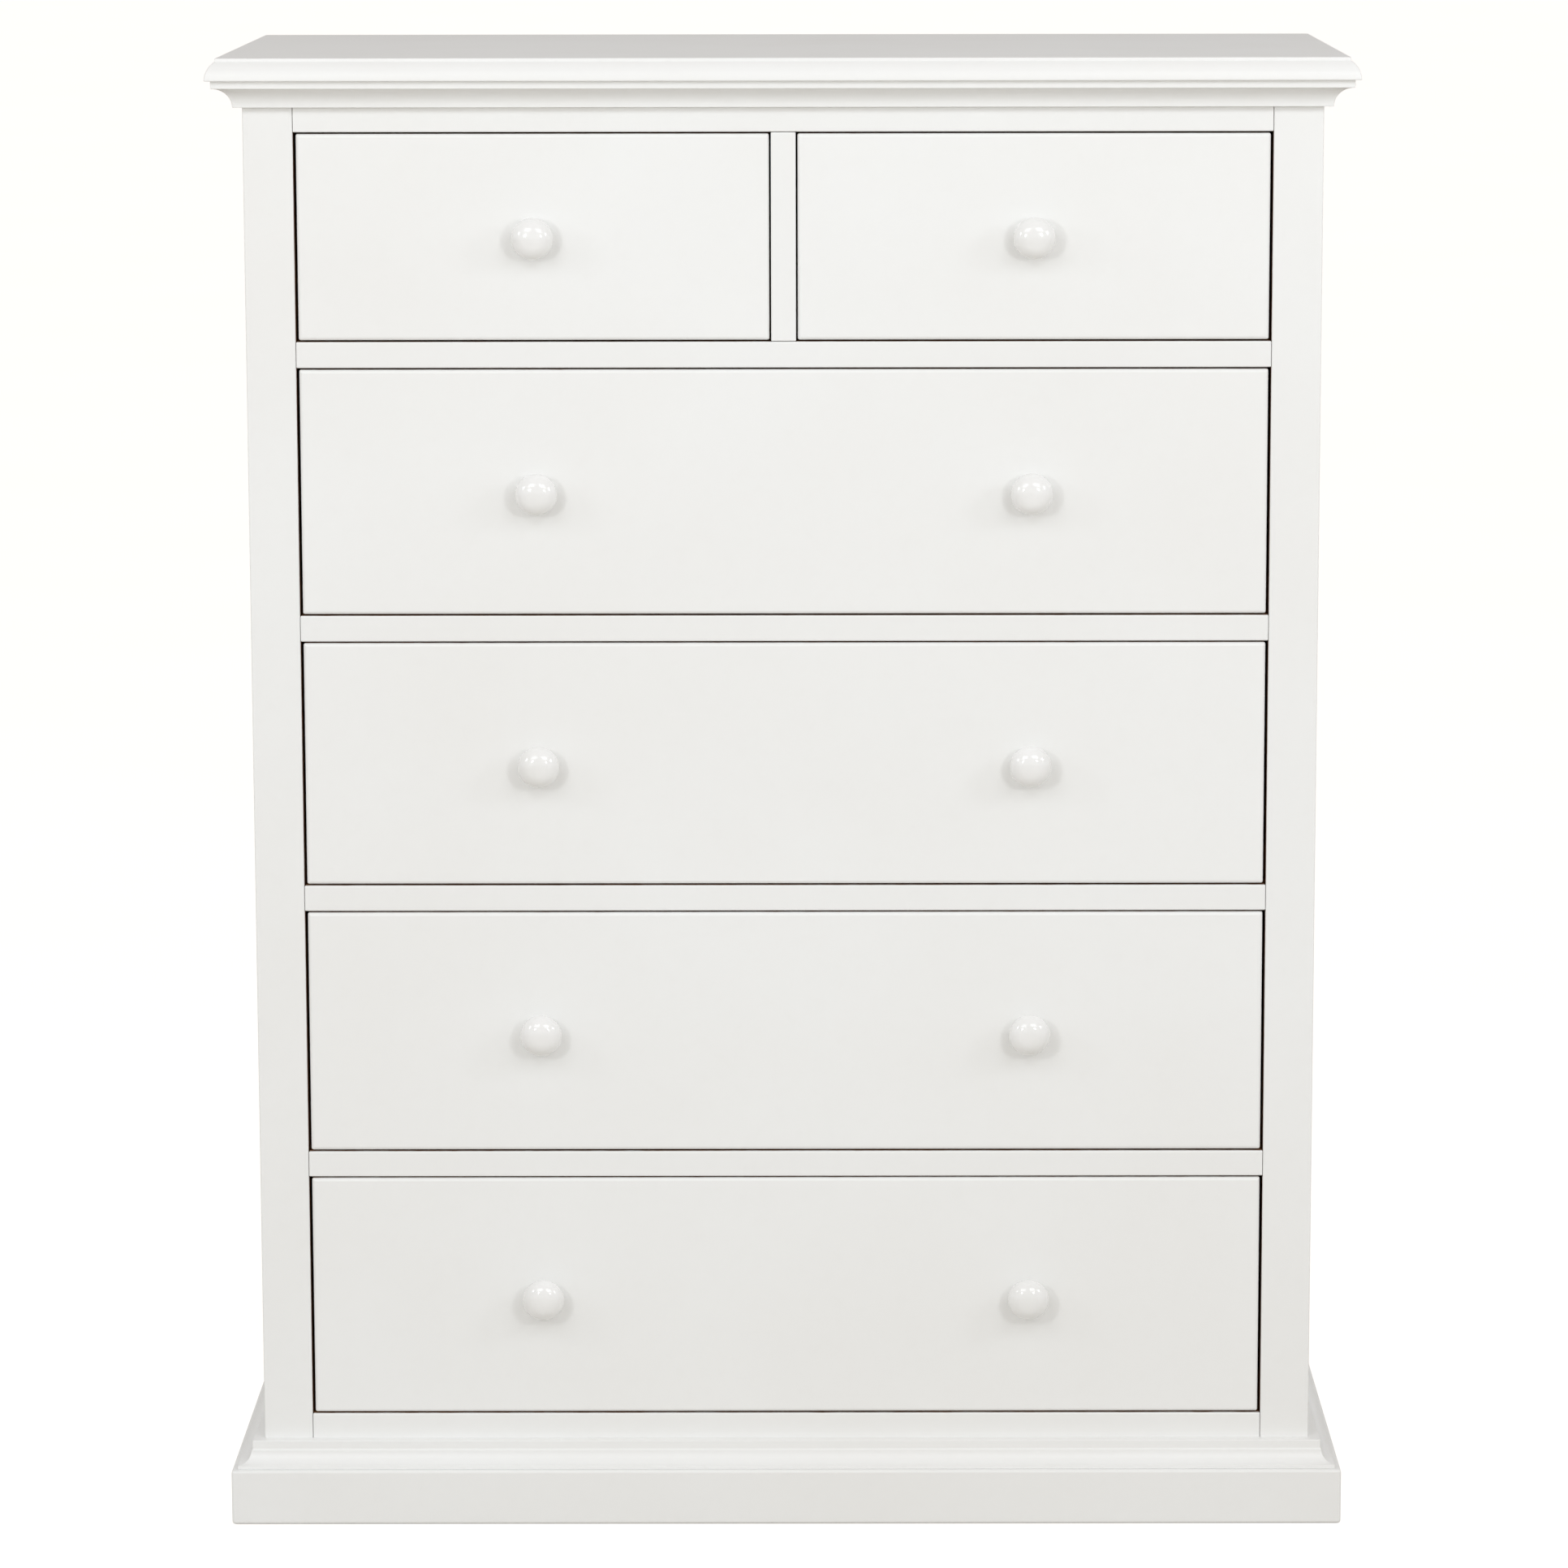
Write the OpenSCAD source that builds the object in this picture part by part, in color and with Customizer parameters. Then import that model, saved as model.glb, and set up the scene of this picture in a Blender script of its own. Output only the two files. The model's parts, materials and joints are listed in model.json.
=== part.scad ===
// Tall chest of drawers: face-frame carcass, moulded top, cove cornice, plinth
// with a cove cap moulding, and six inset drawers on wooden runners.
// Millimetres. +Z is up, the front faces -Y, and the origin is on the floor
// under the middle of the whole chest.

/* [Carcass] */
// Width across the outer faces of the two side panels
carcass_w = 910; // [760:10:1060]
// Depth from the face of the front frame to the back edge of the sides
carcass_d = 431; // [422:1:480]
// Thickness of the side panels
side_t = 18; // [15:1:20]
// Width of each front stile
stile_w = 42; // [36:1:60]
// Thickness of the face frame
frame_t = 21; // [18:1:24]
// Height of each rail between two drawers
rail_h = 22; // [18:1:30]
// Depth of the drawer rails, front to back
rail_d = 78; // [70:1:90]
// Width of the divider between the two small drawers
divider_w = 21; // [18:1:30]
// Depth of the divider, front to back
divider_d = 45; // [30:1:60]
// Thickness of the back panel
back_t = 6; // [4:1:8]
// Radius of the eased edges of the face frame
frame_ease = 1.2; // [0.6:0.2:2]

/* [Drawers] */
// Height of the opening of a wide drawer
wide_open_h = 212; // [160:1:240]
// Height of the opening of a small drawer
small_open_h = 177; // [140:1:200]
// Gap above and below each drawer front
gap_z = 1.5; // [1:0.25:2.5]
// Gap between a drawer front and a stile
gap_x = 2.5; // [1.5:0.25:4]
// Gap between a small drawer front and the divider
gap_mid = 1.5; // [1:0.25:3]
// Thickness of the drawer fronts
front_t = 20; // [18:1:22]
// Radius of the rounded front edges of the drawer fronts
front_ease = 2.6; // [1:0.2:4]
// Thickness of the drawer sides and backs
box_t = 12; // [10:1:14]
// Thickness of the drawer bottoms
bottom_t = 6; // [4:1:8]
// How far the drawer sides stop below the top of the opening
side_drop = 14; // [10:1:18]
// Length of each drawer from its face to its back
drawer_len = 410; // [360:1:410]
// Distance that a drawer pulls out
travel = 320; // [250:10:320]

/* [Knobs] */
// Diameter of a knob
knob_dia = 35.4; // [30:0.2:40]
// How far a knob stands out from the drawer front
knob_out = 28; // [26:0.5:29]
// Distance of the knobs of a wide drawer from the middle
knob_x = 210; // [150:5:300]

/* [Top and cornice] */
// Thickness of the top board
top_t = 19; // [18:1:25]
// How far the top board stands out past the carcass
top_over = 29; // [29:1:36]
// Height of the cove moulding under the top
cornice_h = 23; // [23:1:34]
// Depth of the cove moulding under the top
cornice_d = 24; // [24:1:26]
// Radius of the cove
cornice_r = 16.5; // [14:0.5:16.5]

/* [Base] */
// Height of the plinth boards
plinth_h = 48; // [40:1:48]
// Thickness of the plinth boards
plinth_t = 27; // [25:1:29]
// Height of the cap moulding that stands on the plinth
cap_h = 22.5; // [21.5:0.5:26]
// Height of the lower edge of the lowest drawer opening above the floor
base_h = 92; // [92:1:110]

/* [Hidden] */
$fn = 48;
e = 0.01;

PAINT = "#f1efea";
PAINT_FRONT = "#f4f3f0";
KNOB = "#fbfbf9";
PINE = "#d9b98a";
PLY = "#c9a877";
STEEL = "#9a9ca0";

// Levels, from the floor up
z6 = base_h;                       // lowest opening
z5 = z6 + wide_open_h + rail_h;
z4 = z5 + wide_open_h + rail_h;
z3 = z4 + wide_open_h + rail_h;
z1 = z3 + wide_open_h + rail_h;    // the two small drawers
z_kick = z1 + small_open_h;        // underside of the top rail
z_car = z_kick + 44;               // top of the carcass
z_bot = base_h - 10;               // upper face of the bottom panel

// Plan positions
hw = carcass_w / 2;                // outer face of a side
hi = hw - side_t;                  // inner face of a side
ho = hw - stile_w;                 // inner edge of a stile
depth = carcass_d + top_over;
yf = -depth / 2 + top_over;        // face of the front frame
yb = depth / 2;                    // back edge of the sides
y_in = yf + frame_t;               // back of the face frame
y_rail = yf + rail_d;              // back of the drawer rails
reb = 8;                           // depth of the rebate for the back panel
reb_w = 10;                        // width of that rebate
yp = yb - reb;                     // inner face of the back panel
run_in = ho - 28;                  // inner edge of a runner
mid_run = 45;                      // half the width of the middle runner
guide_h = 30;
play = 0.5;                        // clearance under the drawer sides

yd = yf + front_t;                 // back of a drawer front
y_end = yf + drawer_len;           // back of a drawer
y_bk = y_end - box_t;              // inner face of a drawer back
groove = 6;                        // depth of the groove for a drawer bottom
tail = 12;                         // length of the dovetails
lift = 12;                         // bottom panel above the lower edge of a side

// A drawer is [left edge, right edge, opening bottom, opening top, knobs]
D1 = [-ho + gap_x, -divider_w / 2 - gap_mid, z1, z_kick, [(-ho + gap_x - divider_w / 2 - gap_mid) / 2]];
D2 = [divider_w / 2 + gap_mid, ho - gap_x, z1, z_kick, [(ho - gap_x + divider_w / 2 + gap_mid) / 2]];
D3 = [-ho + gap_x, ho - gap_x, z3, z3 + wide_open_h, [-knob_x, knob_x]];
D4 = [-ho + gap_x, ho - gap_x, z4, z4 + wide_open_h, [-knob_x, knob_x]];
D5 = [-ho + gap_x, ho - gap_x, z5, z5 + wide_open_h, [-knob_x, knob_x]];
D6 = [-ho + gap_x, ho - gap_x, z6, z6 + wide_open_h, [-knob_x, knob_x]];
ALL = [D1, D2, D3, D4, D5, D6];
function xc(d) = (d[0] + d[1]) / 2;
function zc(d) = (d[2] + d[3]) / 2;

// ---------------------------------------------------------------- helpers

// A block between two corners
module block(a, b) { translate(a) cube([b[0] - a[0], b[1] - a[1], b[2] - a[2]]); }

// Runs a profile drawn in (Y, Z) along X, from x0 to x1
module along_x(x0, x1) {
  translate([x0, 0, 0]) rotate([90, 0, 90]) linear_extrude(height = x1 - x0) children();
}

// Runs a profile drawn in (X, Z) along Y, from y0 to y1
module along_y(y0, y1) {
  translate([0, y1, 0]) rotate([90, 0, 0]) linear_extrude(height = y1 - y0) children();
}

// A rectangle from (a, 0) to (b, t) whose two lower corners are rounded by r
module eased_rect(a, b, t, r) {
  translate([a, r]) square([b - a, t - r]);
  translate([a + r, 0]) square([b - a - 2 * r, t]);
  translate([a + r, r]) circle(r);
  translate([b - r, r]) circle(r);
}

// A board facing the front, whose four front edges are rounded by r
module eased_board(x0, x1, y0, y1, z0, z1, r) {
  intersection() {
    translate([0, y0, z0]) linear_extrude(height = z1 - z0) eased_rect(x0, x1, y1 - y0, r);
    translate([x0, 0, 0]) rotate([90, 0, 90]) linear_extrude(height = x1 - x0)
      translate([y0, 0]) rotate([0, 0, -90]) mirror([1, 0]) eased_rect(z0, z1, y1 - y0, r);
  }
}

// Plan of the front run of a mitred moulding, and of its right return
module front_plan(p) {
  polygon([[-hw - p, yf - p], [hw + p, yf - p], [hw, yf], [-hw, yf]]);
}
module right_plan(p) {
  polygon([[hw, yf], [hw + p, yf - p], [hw + p, yb], [hw, yb]]);
}

// A moulding's front run: the profile is drawn outwards along +X from the face
module front_run(p, z0, z1) {
  intersection() {
    along_x(-hw - p, hw + p) translate([yf, 0]) mirror([1, 0]) children();
    translate([0, 0, z0]) linear_extrude(height = z1 - z0) front_plan(p);
  }
}

// The same moulding along the right side
module right_run(p, z0, z1) {
  intersection() {
    along_y(yf - p, yb) translate([hw, 0]) children();
    translate([0, 0, z0]) linear_extrude(height = z1 - z0) right_plan(p);
  }
}

// ------------------------------------------------------- top and cornice

ov_r = 19.5;                       // radius of the thumb moulding of the top
ov_h = top_t - 3;                  // its height, under a small upright fillet
ov_c = top_over - ov_r;            // its centre, out from the carcass
ov_in = ov_c + sqrt(ov_r * ov_r - ov_h * ov_h);

// One moulded edge of the top: outwards along +X, upwards along +Y
module top_edge(back) {
  translate([-back, 0]) square([back + ov_in, top_t]);
  intersection() {
    translate([ov_c, 0]) circle(ov_r);
    square([top_over, ov_h]);
  }
}

module top_board() {
  color(PAINT) intersection() {
    along_x(-hw - top_over, hw + top_over)
      translate([yf, z_car]) mirror([1, 0]) top_edge(carcass_d);
    along_y(-depth / 2, depth / 2) {
      translate([hw, z_car]) top_edge(hw);
      translate([-hw, z_car]) mirror([1, 0]) top_edge(hw);
    }
  }
}

// Fillet, then a concave quarter, then a thin lower edge
module cornice_profile() {
  difference() {
    translate([0, z_car - cornice_h]) square([cornice_d, cornice_h]);
    translate([cornice_d, z_car - cornice_h]) circle(cornice_r);
  }
}

module cornice_front() {
  color(PAINT) front_run(cornice_d, z_car - cornice_h, z_car) cornice_profile();
}

module cornice_returns() {
  color(PAINT) {
    right_run(cornice_d, z_car - cornice_h, z_car) cornice_profile();
    mirror([1, 0, 0]) right_run(cornice_d, z_car - cornice_h, z_car) cornice_profile();
  }
}

// ------------------------------------------------------------ face frame

module stile() {
  color(PAINT) translate([0, yf, 0]) linear_extrude(height = z_car)
    eased_rect(ho, hw, frame_t, frame_ease);
}
module front_stile_right() { stile(); }
module front_stile_left() { mirror([1, 0, 0]) stile(); }

module top_rail() {
  color(PAINT) eased_board(-ho, ho, yf, y_in, z_kick, z_car, frame_ease);
}

// A drawer rail: it is notched round the stiles and reaches both sides
module drawer_rail(z) {
  eased_board(-ho, ho, yf, y_in + 1, z, z + rail_h, frame_ease);
  block([-hi, y_in, z], [hi, y_rail, z + rail_h]);
}
module drawer_rails() {
  color(PAINT) for (d = [D3, D4, D5, D6]) difference() {
    drawer_rail(d[3]);
    stop_bore(d);
  }
}

module bottom_rail() {
  color(PAINT) eased_board(-ho, ho, yf, y_in, plinth_h, base_h, frame_ease);
}

module centre_divider() {
  color(PAINT) eased_board(-divider_w / 2, divider_w / 2, yf, yf + divider_d, z1, z_kick, frame_ease);
}

// --------------------------------------------------------------- carcass

screw_z = [for (k = [0:5]) z_bot + 30 + k * (z_car - z_bot - 70) / 5];

module side_panel() {
  color(PAINT) difference() {
    block([hi, y_in, 0], [hw, yb, z_car]);
    block([hi - e, yp, -e], [hi + reb_w, yb + e, z_car + e]);
    for (z = screw_z) translate([hi + 5, yp + e, z]) rotate([90, 0, 0]) cylinder(h = 14, d = 3);
  }
}
module side_panel_right() { side_panel(); }
module side_panel_left() { mirror([1, 0, 0]) side_panel(); }

module back_panel() {
  color(PLY) difference() {
    block([-hi - reb_w, yp, plinth_h], [hi + reb_w, yp + back_t, z_car]);
    for (s = [-1, 1], z = screw_z)
      translate([s * (hi + 5), yp + back_t + 1, z]) rotate([90, 0, 0]) cylinder(h = back_t + 2, d = 3.4);
    for (z = [z_kick + rail_h / 2, z1 - rail_h / 2])
      translate([0, yp + back_t + 1, z]) rotate([90, 0, 0]) cylinder(h = back_t + 2, d = 3.4);
  }
}

module bottom_panel() {
  color(PINE) block([-hi, y_in, z_bot - 18], [hi, yp, z_bot]);
}

// One drawer runner on the right side
module runner(z, h) { block([run_in, y_rail, z], [hi, yp, z + h]); }

module drawer_runners() {
  color(PINE) {
    for (z = [z1, z3, z4, z5]) {
      runner(z - rail_h, rail_h);
      mirror([1, 0, 0]) runner(z - rail_h, rail_h);
    }
    for (s = [0, 1]) mirror([s, 0, 0]) block([run_in, y_in, z_bot], [hi, yp, base_h]);
    difference() {
      block([-mid_run, y_rail, z1 - rail_h], [mid_run, yp, z1]);
      translate([0, yp + e, z1 - rail_h / 2]) rotate([90, 0, 0]) cylinder(h = 18, d = 3);
    }
  }
}

module drawer_guides() {
  color(PINE) {
    for (z = [z1, z3, z4, z5, z6], s = [0, 1]) mirror([s, 0, 0]) block([ho, y_in, z], [hi, yp, z + guide_h]);
    block([-divider_w / 2, yf + divider_d, z1], [divider_w / 2, yp, z1 + guide_h]);
  }
}

// Strips above the small drawers that stop them tipping when they are open
module top_kickers() {
  color(PINE) {
    difference() {
      block([-hi, y_in, z_kick], [hi, y_rail, z_kick + rail_h]);
      for (d = [D1, D2]) stop_bore(d);
    }
    for (s = [0, 1]) mirror([s, 0, 0]) block([run_in, y_rail, z_kick], [hi, yp, z_kick + rail_h]);
    difference() {
      block([-mid_run, y_rail, z_kick], [mid_run, yp, z_kick + rail_h]);
      translate([0, yp + e, z_kick + rail_h / 2]) rotate([90, 0, 0]) cylinder(h = 18, d = 3);
    }
  }
}

// Small blocks behind the lower edge of each drawer front
stop_w = 36;
function stop_x(d) = (d[1] - d[0] > 500) ? [-300, 300] : [xc(d) - 120, xc(d) + 120];
module closing_stops() {
  color(PINE) for (d = ALL, x = stop_x(d)) union() {
    block([x - stop_w / 2, yd + 0.4, d[2]], [x + stop_w / 2, yd + 20, d[2] + 7.5]);
    // the lowest stops reach down behind the bottom rail to the bottom panel
    if (d[2] == z6)
      block([x - stop_w / 2, y_in, z_bot], [x + stop_w / 2, yd + 20, d[2] + 2]);
  }
}

// Blocks screwed under the rail above, which catch the drawer's back
catch_h = 22;
catch_y = y_bk - travel - 0.7;     // back face of a pull-out stop
catch_l = 23;
module stop_bore(d) {
  translate([xc(d), catch_y - catch_l / 2, d[3] - e]) cylinder(h = 12, d = 3);
}
module pull_out_stops() {
  color(PINE) for (d = ALL) difference() {
    block([xc(d) - 25, catch_y - catch_l, d[3] - catch_h], [xc(d) + 25, catch_y, d[3]]);
    translate([xc(d), catch_y - catch_l / 2, d[3] - catch_h - e]) {
      cylinder(h = catch_h + 1, d = 3.4);
      cylinder(h = 3.2, d = 7.4);
    }
  }
}

// Blocks under the top board, under the bottom panel and in the front corners
module glue_blocks() {
  color(PINE) {
    for (s = [0, 1]) mirror([s, 0, 0]) {
      for (y = [-110, 40, 180]) block([hi - 22, y - 25, z_kick + rail_h], [hi, y + 25, z_car]);
      for (y = [-60, 90, 190]) block([hi - 22, y - 25, z_bot - 40], [hi, y + 25, z_bot - 18]);
      translate([hi, y_in, 4]) linear_extrude(height = z_bot - 22) polygon([[0, 0], [-30, 0], [0, 30]]);
    }
    for (x = [-250, 0, 250]) block([x - 30, y_in, z_kick + rail_h], [x + 30, y_in + 22, z_car]);
  }
}

// A pan head screw along +Z with its head below the origin, and a cross recess
module screw(d, l, hd, hh) {
  difference() {
    union() {
      cylinder(h = l, d = d);
      translate([0, 0, -hh]) cylinder(h = hh, d = hd);
    }
    translate([-hd * 0.3, -0.4, -hh - e]) cube([hd * 0.6, 0.8, hh * 0.6]);
    translate([-0.4, -hd * 0.3, -hh - e]) cube([0.8, hd * 0.6, hh * 0.6]);
  }
}

module carcass_screws() {
  color(STEEL) {
    for (s = [-1, 1], z = screw_z)
      translate([s * (hi + 5), yp + back_t, z]) rotate([90, 0, 0]) screw(3, 19, 6, 1.6);
    for (z = [z_kick + rail_h / 2, z1 - rail_h / 2])
      translate([0, yp + back_t, z]) rotate([90, 0, 0]) screw(3, 19, 6, 1.6);
    for (d = ALL)
      translate([xc(d), catch_y - catch_l / 2, d[3] - catch_h + 3.2 - e]) screw(3, catch_h + 5, 6.4, 2);
  }
}

// ------------------------------------------------------------------ base

module plinth_profile() {
  translate([0, 0]) square([plinth_t - 2, plinth_h]);
  translate([0, 2]) square([plinth_t, plinth_h - 4]);
  translate([plinth_t - 2, 2]) circle(2);
  translate([plinth_t - 2, plinth_h - 2]) circle(2);
}

module plinth_front() {
  color(PAINT) front_run(plinth_t, 0, plinth_h) plinth_profile();
}

module plinth_sides() {
  color(PAINT) for (s = [0, 1]) mirror([s, 0, 0]) right_run(plinth_t, 0, plinth_h) plinth_profile();
}

// Upright fillet, small bevel, concave quarter, small upright fillet
cap_in = 10;
cap_r = 11;
cap_low = 3;
cap_out = cap_in + 1 + cap_r;
module cap_profile() {
  difference() {
    translate([0, plinth_h]) square([cap_out, cap_h]);
    translate([cap_out, plinth_h + cap_low + cap_r]) circle(cap_r);
    translate([cap_in + 1, plinth_h + cap_low + cap_r]) square([cap_out, cap_h]);
    polygon([[cap_in, plinth_h + cap_low + cap_r + 1], [cap_in + 1 + e, plinth_h + cap_low + cap_r - e],
             [cap_out + 1, plinth_h + cap_low + cap_r - e], [cap_out + 1, plinth_h + cap_h + 1],
             [cap_in, plinth_h + cap_h + 1]]);
  }
}

module base_moulding_front() {
  color(PAINT) front_run(cap_out, plinth_h, plinth_h + cap_h) cap_profile();
}

module base_moulding_returns() {
  color(PAINT) for (s = [0, 1]) mirror([s, 0, 0])
    right_run(cap_out, plinth_h, plinth_h + cap_h) cap_profile();
}

// --------------------------------------------------------------- drawers

function side_lo(d) = d[2] + play;
function side_hi(d) = d[3] - side_drop;
function pan_z(d) = side_lo(d) + lift;
function tails(d) = floor((side_hi(d) - side_lo(d)) / 38);

// The dovetails of one side, in X from 0 to the side's thickness
module tails_of(d) {
  n = tails(d);
  pitch = (side_hi(d) - side_lo(d)) / n;
  root = pitch * 0.27;
  for (k = [0:n - 1])
    translate([0, yd, side_lo(d) + (k + 0.5) * pitch]) rotate([90, 0, 90])
      linear_extrude(height = box_t)
        polygon([[0, -root], [-tail, -root - 1.8], [-tail, root + 1.8], [0, root]]);
}

module drawer_front(d) {
  color(PAINT_FRONT) difference() {
    eased_board(d[0], d[1], yf, yd, d[2] + gap_z, d[3] - gap_z, front_ease);
    translate([d[0], 0, 0]) tails_of(d);
    translate([d[1] - box_t, 0, 0]) tails_of(d);
    block([d[0] + box_t - groove, yd - groove, pan_z(d)], [d[1] - box_t + groove, yd + 1, pan_z(d) + bottom_t]);
    for (x = d[4]) translate([x, yd + 1, zc(d)]) rotate([90, 0, 0]) cylinder(h = front_t + 2, d = 4.6);
  }
}

// One side, with its inner face towards +X
module drawer_side(d) {
  difference() {
    union() {
      block([0, yd, side_lo(d)], [box_t, y_end, side_hi(d)]);
      tails_of(d);
    }
    block([box_t - groove, yd - groove, pan_z(d)], [box_t + 1, y_end + 1, pan_z(d) + bottom_t]);
    block([box_t - 4, y_bk, pan_z(d) + bottom_t - e], [box_t + 1, y_end + 1, side_hi(d) + 1]);
  }
}

module drawer_sides(d) {
  color(PINE) {
    translate([d[0], 0, 0]) drawer_side(d);
    translate([d[1], 0, 0]) mirror([1, 0, 0]) drawer_side(d);
  }
}

module drawer_back(d) {
  color(PINE) block([d[0] + box_t - 4, y_bk, pan_z(d) + bottom_t],
                    [d[1] - box_t + 4, y_end, side_hi(d)]);
}

module drawer_bottom(d) {
  color(PLY) block([d[0] + box_t - groove + 0.3, yd - groove + 0.3, pan_z(d)],
                   [d[1] - box_t + groove - 0.3, y_end, pan_z(d) + bottom_t]);
}

// Turned knob, drawn with the radius along X and the height above the front
// along Y: a foot, a waist, and a flattened ball with a domed face
kr = knob_dia / 2;
ball_r = 9.2;
ball_y = knob_out - ball_r;
module knob_profile() {
  intersection() {
    union() {
      translate([kr - ball_r, ball_y]) circle(ball_r);
      translate([0, ball_y - ball_r]) square([kr - ball_r, 2 * ball_r]);
      square([9, 3]);
      difference() {
        square([11, ball_y]);
        translate([14, 7.5]) circle(6.6);
        translate([9, -1]) square([6, 4]);
      }
    }
    translate([0, knob_out - 32]) circle(32);
    square([kr + 1, knob_out]);
  }
}

module knob() {
  difference() {
    rotate_extrude() knob_profile();
    translate([0, 0, -1]) cylinder(h = 13, d = 4.1);
  }
}

module drawer_knobs(d) {
  color(KNOB) for (x = d[4]) translate([x, yf, zc(d)]) rotate([90, 0, 0]) knob();
}

module knob_screws(d) {
  color(STEEL) for (x = d[4]) translate([x, yd, zc(d)]) rotate([90, 0, 0]) screw(4, front_t + 10, 9, 2.6);
}

// ------------------------------------------------------------------ nodes

top_board();
cornice_front();
cornice_returns();
front_stile_left();
front_stile_right();
top_rail();
drawer_rails();
bottom_rail();
centre_divider();
side_panel_left();
side_panel_right();
back_panel();
drawer_runners();
drawer_guides();
top_kickers();
closing_stops();
pull_out_stops();
bottom_panel();
plinth_front();
plinth_sides();
base_moulding_front();
base_moulding_returns();
glue_blocks();
carcass_screws();

drawer_front(D1);  // drawer_1_front
drawer_sides(D1);  // drawer_1_sides
drawer_back(D1);  // drawer_1_back
drawer_bottom(D1);  // drawer_1_bottom
drawer_knobs(D1);  // drawer_1_knob
knob_screws(D1);  // drawer_1_knob_screw

drawer_front(D2);  // drawer_2_front
drawer_sides(D2);  // drawer_2_sides
drawer_back(D2);  // drawer_2_back
drawer_bottom(D2);  // drawer_2_bottom
drawer_knobs(D2);  // drawer_2_knob
knob_screws(D2);  // drawer_2_knob_screw

drawer_front(D3);  // drawer_3_front
drawer_sides(D3);  // drawer_3_sides
drawer_back(D3);  // drawer_3_back
drawer_bottom(D3);  // drawer_3_bottom
drawer_knobs(D3);  // drawer_3_knobs
knob_screws(D3);  // drawer_3_knob_screws

drawer_front(D4);  // drawer_4_front
drawer_sides(D4);  // drawer_4_sides
drawer_back(D4);  // drawer_4_back
drawer_bottom(D4);  // drawer_4_bottom
drawer_knobs(D4);  // drawer_4_knobs
knob_screws(D4);  // drawer_4_knob_screws

drawer_front(D5);  // drawer_5_front
drawer_sides(D5);  // drawer_5_sides
drawer_back(D5);  // drawer_5_back
drawer_bottom(D5);  // drawer_5_bottom
drawer_knobs(D5);  // drawer_5_knobs
knob_screws(D5);  // drawer_5_knob_screws

drawer_front(D6);  // drawer_6_front
drawer_sides(D6);  // drawer_6_sides
drawer_back(D6);  // drawer_6_back
drawer_bottom(D6);  // drawer_6_bottom
drawer_knobs(D6);  // drawer_6_knobs
knob_screws(D6);  // drawer_6_knob_screws
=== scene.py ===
import json
import math
import random

import bmesh
import bpy
from mathutils import Matrix, Vector

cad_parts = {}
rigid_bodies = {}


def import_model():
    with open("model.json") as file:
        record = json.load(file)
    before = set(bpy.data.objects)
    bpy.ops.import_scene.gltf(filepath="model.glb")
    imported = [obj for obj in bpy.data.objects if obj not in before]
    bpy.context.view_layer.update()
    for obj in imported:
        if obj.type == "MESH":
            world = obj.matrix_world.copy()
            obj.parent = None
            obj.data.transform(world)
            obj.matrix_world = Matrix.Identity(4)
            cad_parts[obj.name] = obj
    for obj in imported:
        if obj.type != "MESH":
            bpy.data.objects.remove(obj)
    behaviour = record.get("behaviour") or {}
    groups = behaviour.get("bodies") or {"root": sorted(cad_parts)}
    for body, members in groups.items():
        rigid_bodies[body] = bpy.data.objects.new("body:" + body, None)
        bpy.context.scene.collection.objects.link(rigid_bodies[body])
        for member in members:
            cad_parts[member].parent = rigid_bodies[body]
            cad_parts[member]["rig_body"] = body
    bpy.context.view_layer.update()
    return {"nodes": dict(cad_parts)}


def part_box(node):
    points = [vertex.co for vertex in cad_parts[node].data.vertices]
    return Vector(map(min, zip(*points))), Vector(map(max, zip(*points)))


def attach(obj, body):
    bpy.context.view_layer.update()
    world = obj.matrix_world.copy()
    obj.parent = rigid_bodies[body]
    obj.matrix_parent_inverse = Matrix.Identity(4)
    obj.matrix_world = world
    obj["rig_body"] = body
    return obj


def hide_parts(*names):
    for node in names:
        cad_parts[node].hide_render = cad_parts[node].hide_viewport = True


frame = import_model()
NODES = frame["nodes"]
MM = 0.001

# ------------------------------------------------------------ plan, in metres

HW = 455 * MM          # outer face of a side panel
HI = 437 * MM          # inner face of a side panel
HO = 413 * MM          # inner edge of a stile
YF = -201 * MM         # face of the front frame
YB = 230 * MM          # back edge of the sides
Z_CAR = 1249 * MM      # top of the carcass
R_FRAME = 1.3 * MM     # eased edges of the face frame
R_FRONT = 3.2 * MM     # rounded edges of the drawer fronts


def srgb(r, g, b):
    def lin(v):
        v /= 255.0
        return v / 12.92 if v <= 0.04045 else ((v + 0.055) / 1.055) ** 2.4
    return (lin(r), lin(g), lin(b), 1.0)


# ------------------------------------------------------------------ materials

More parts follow.
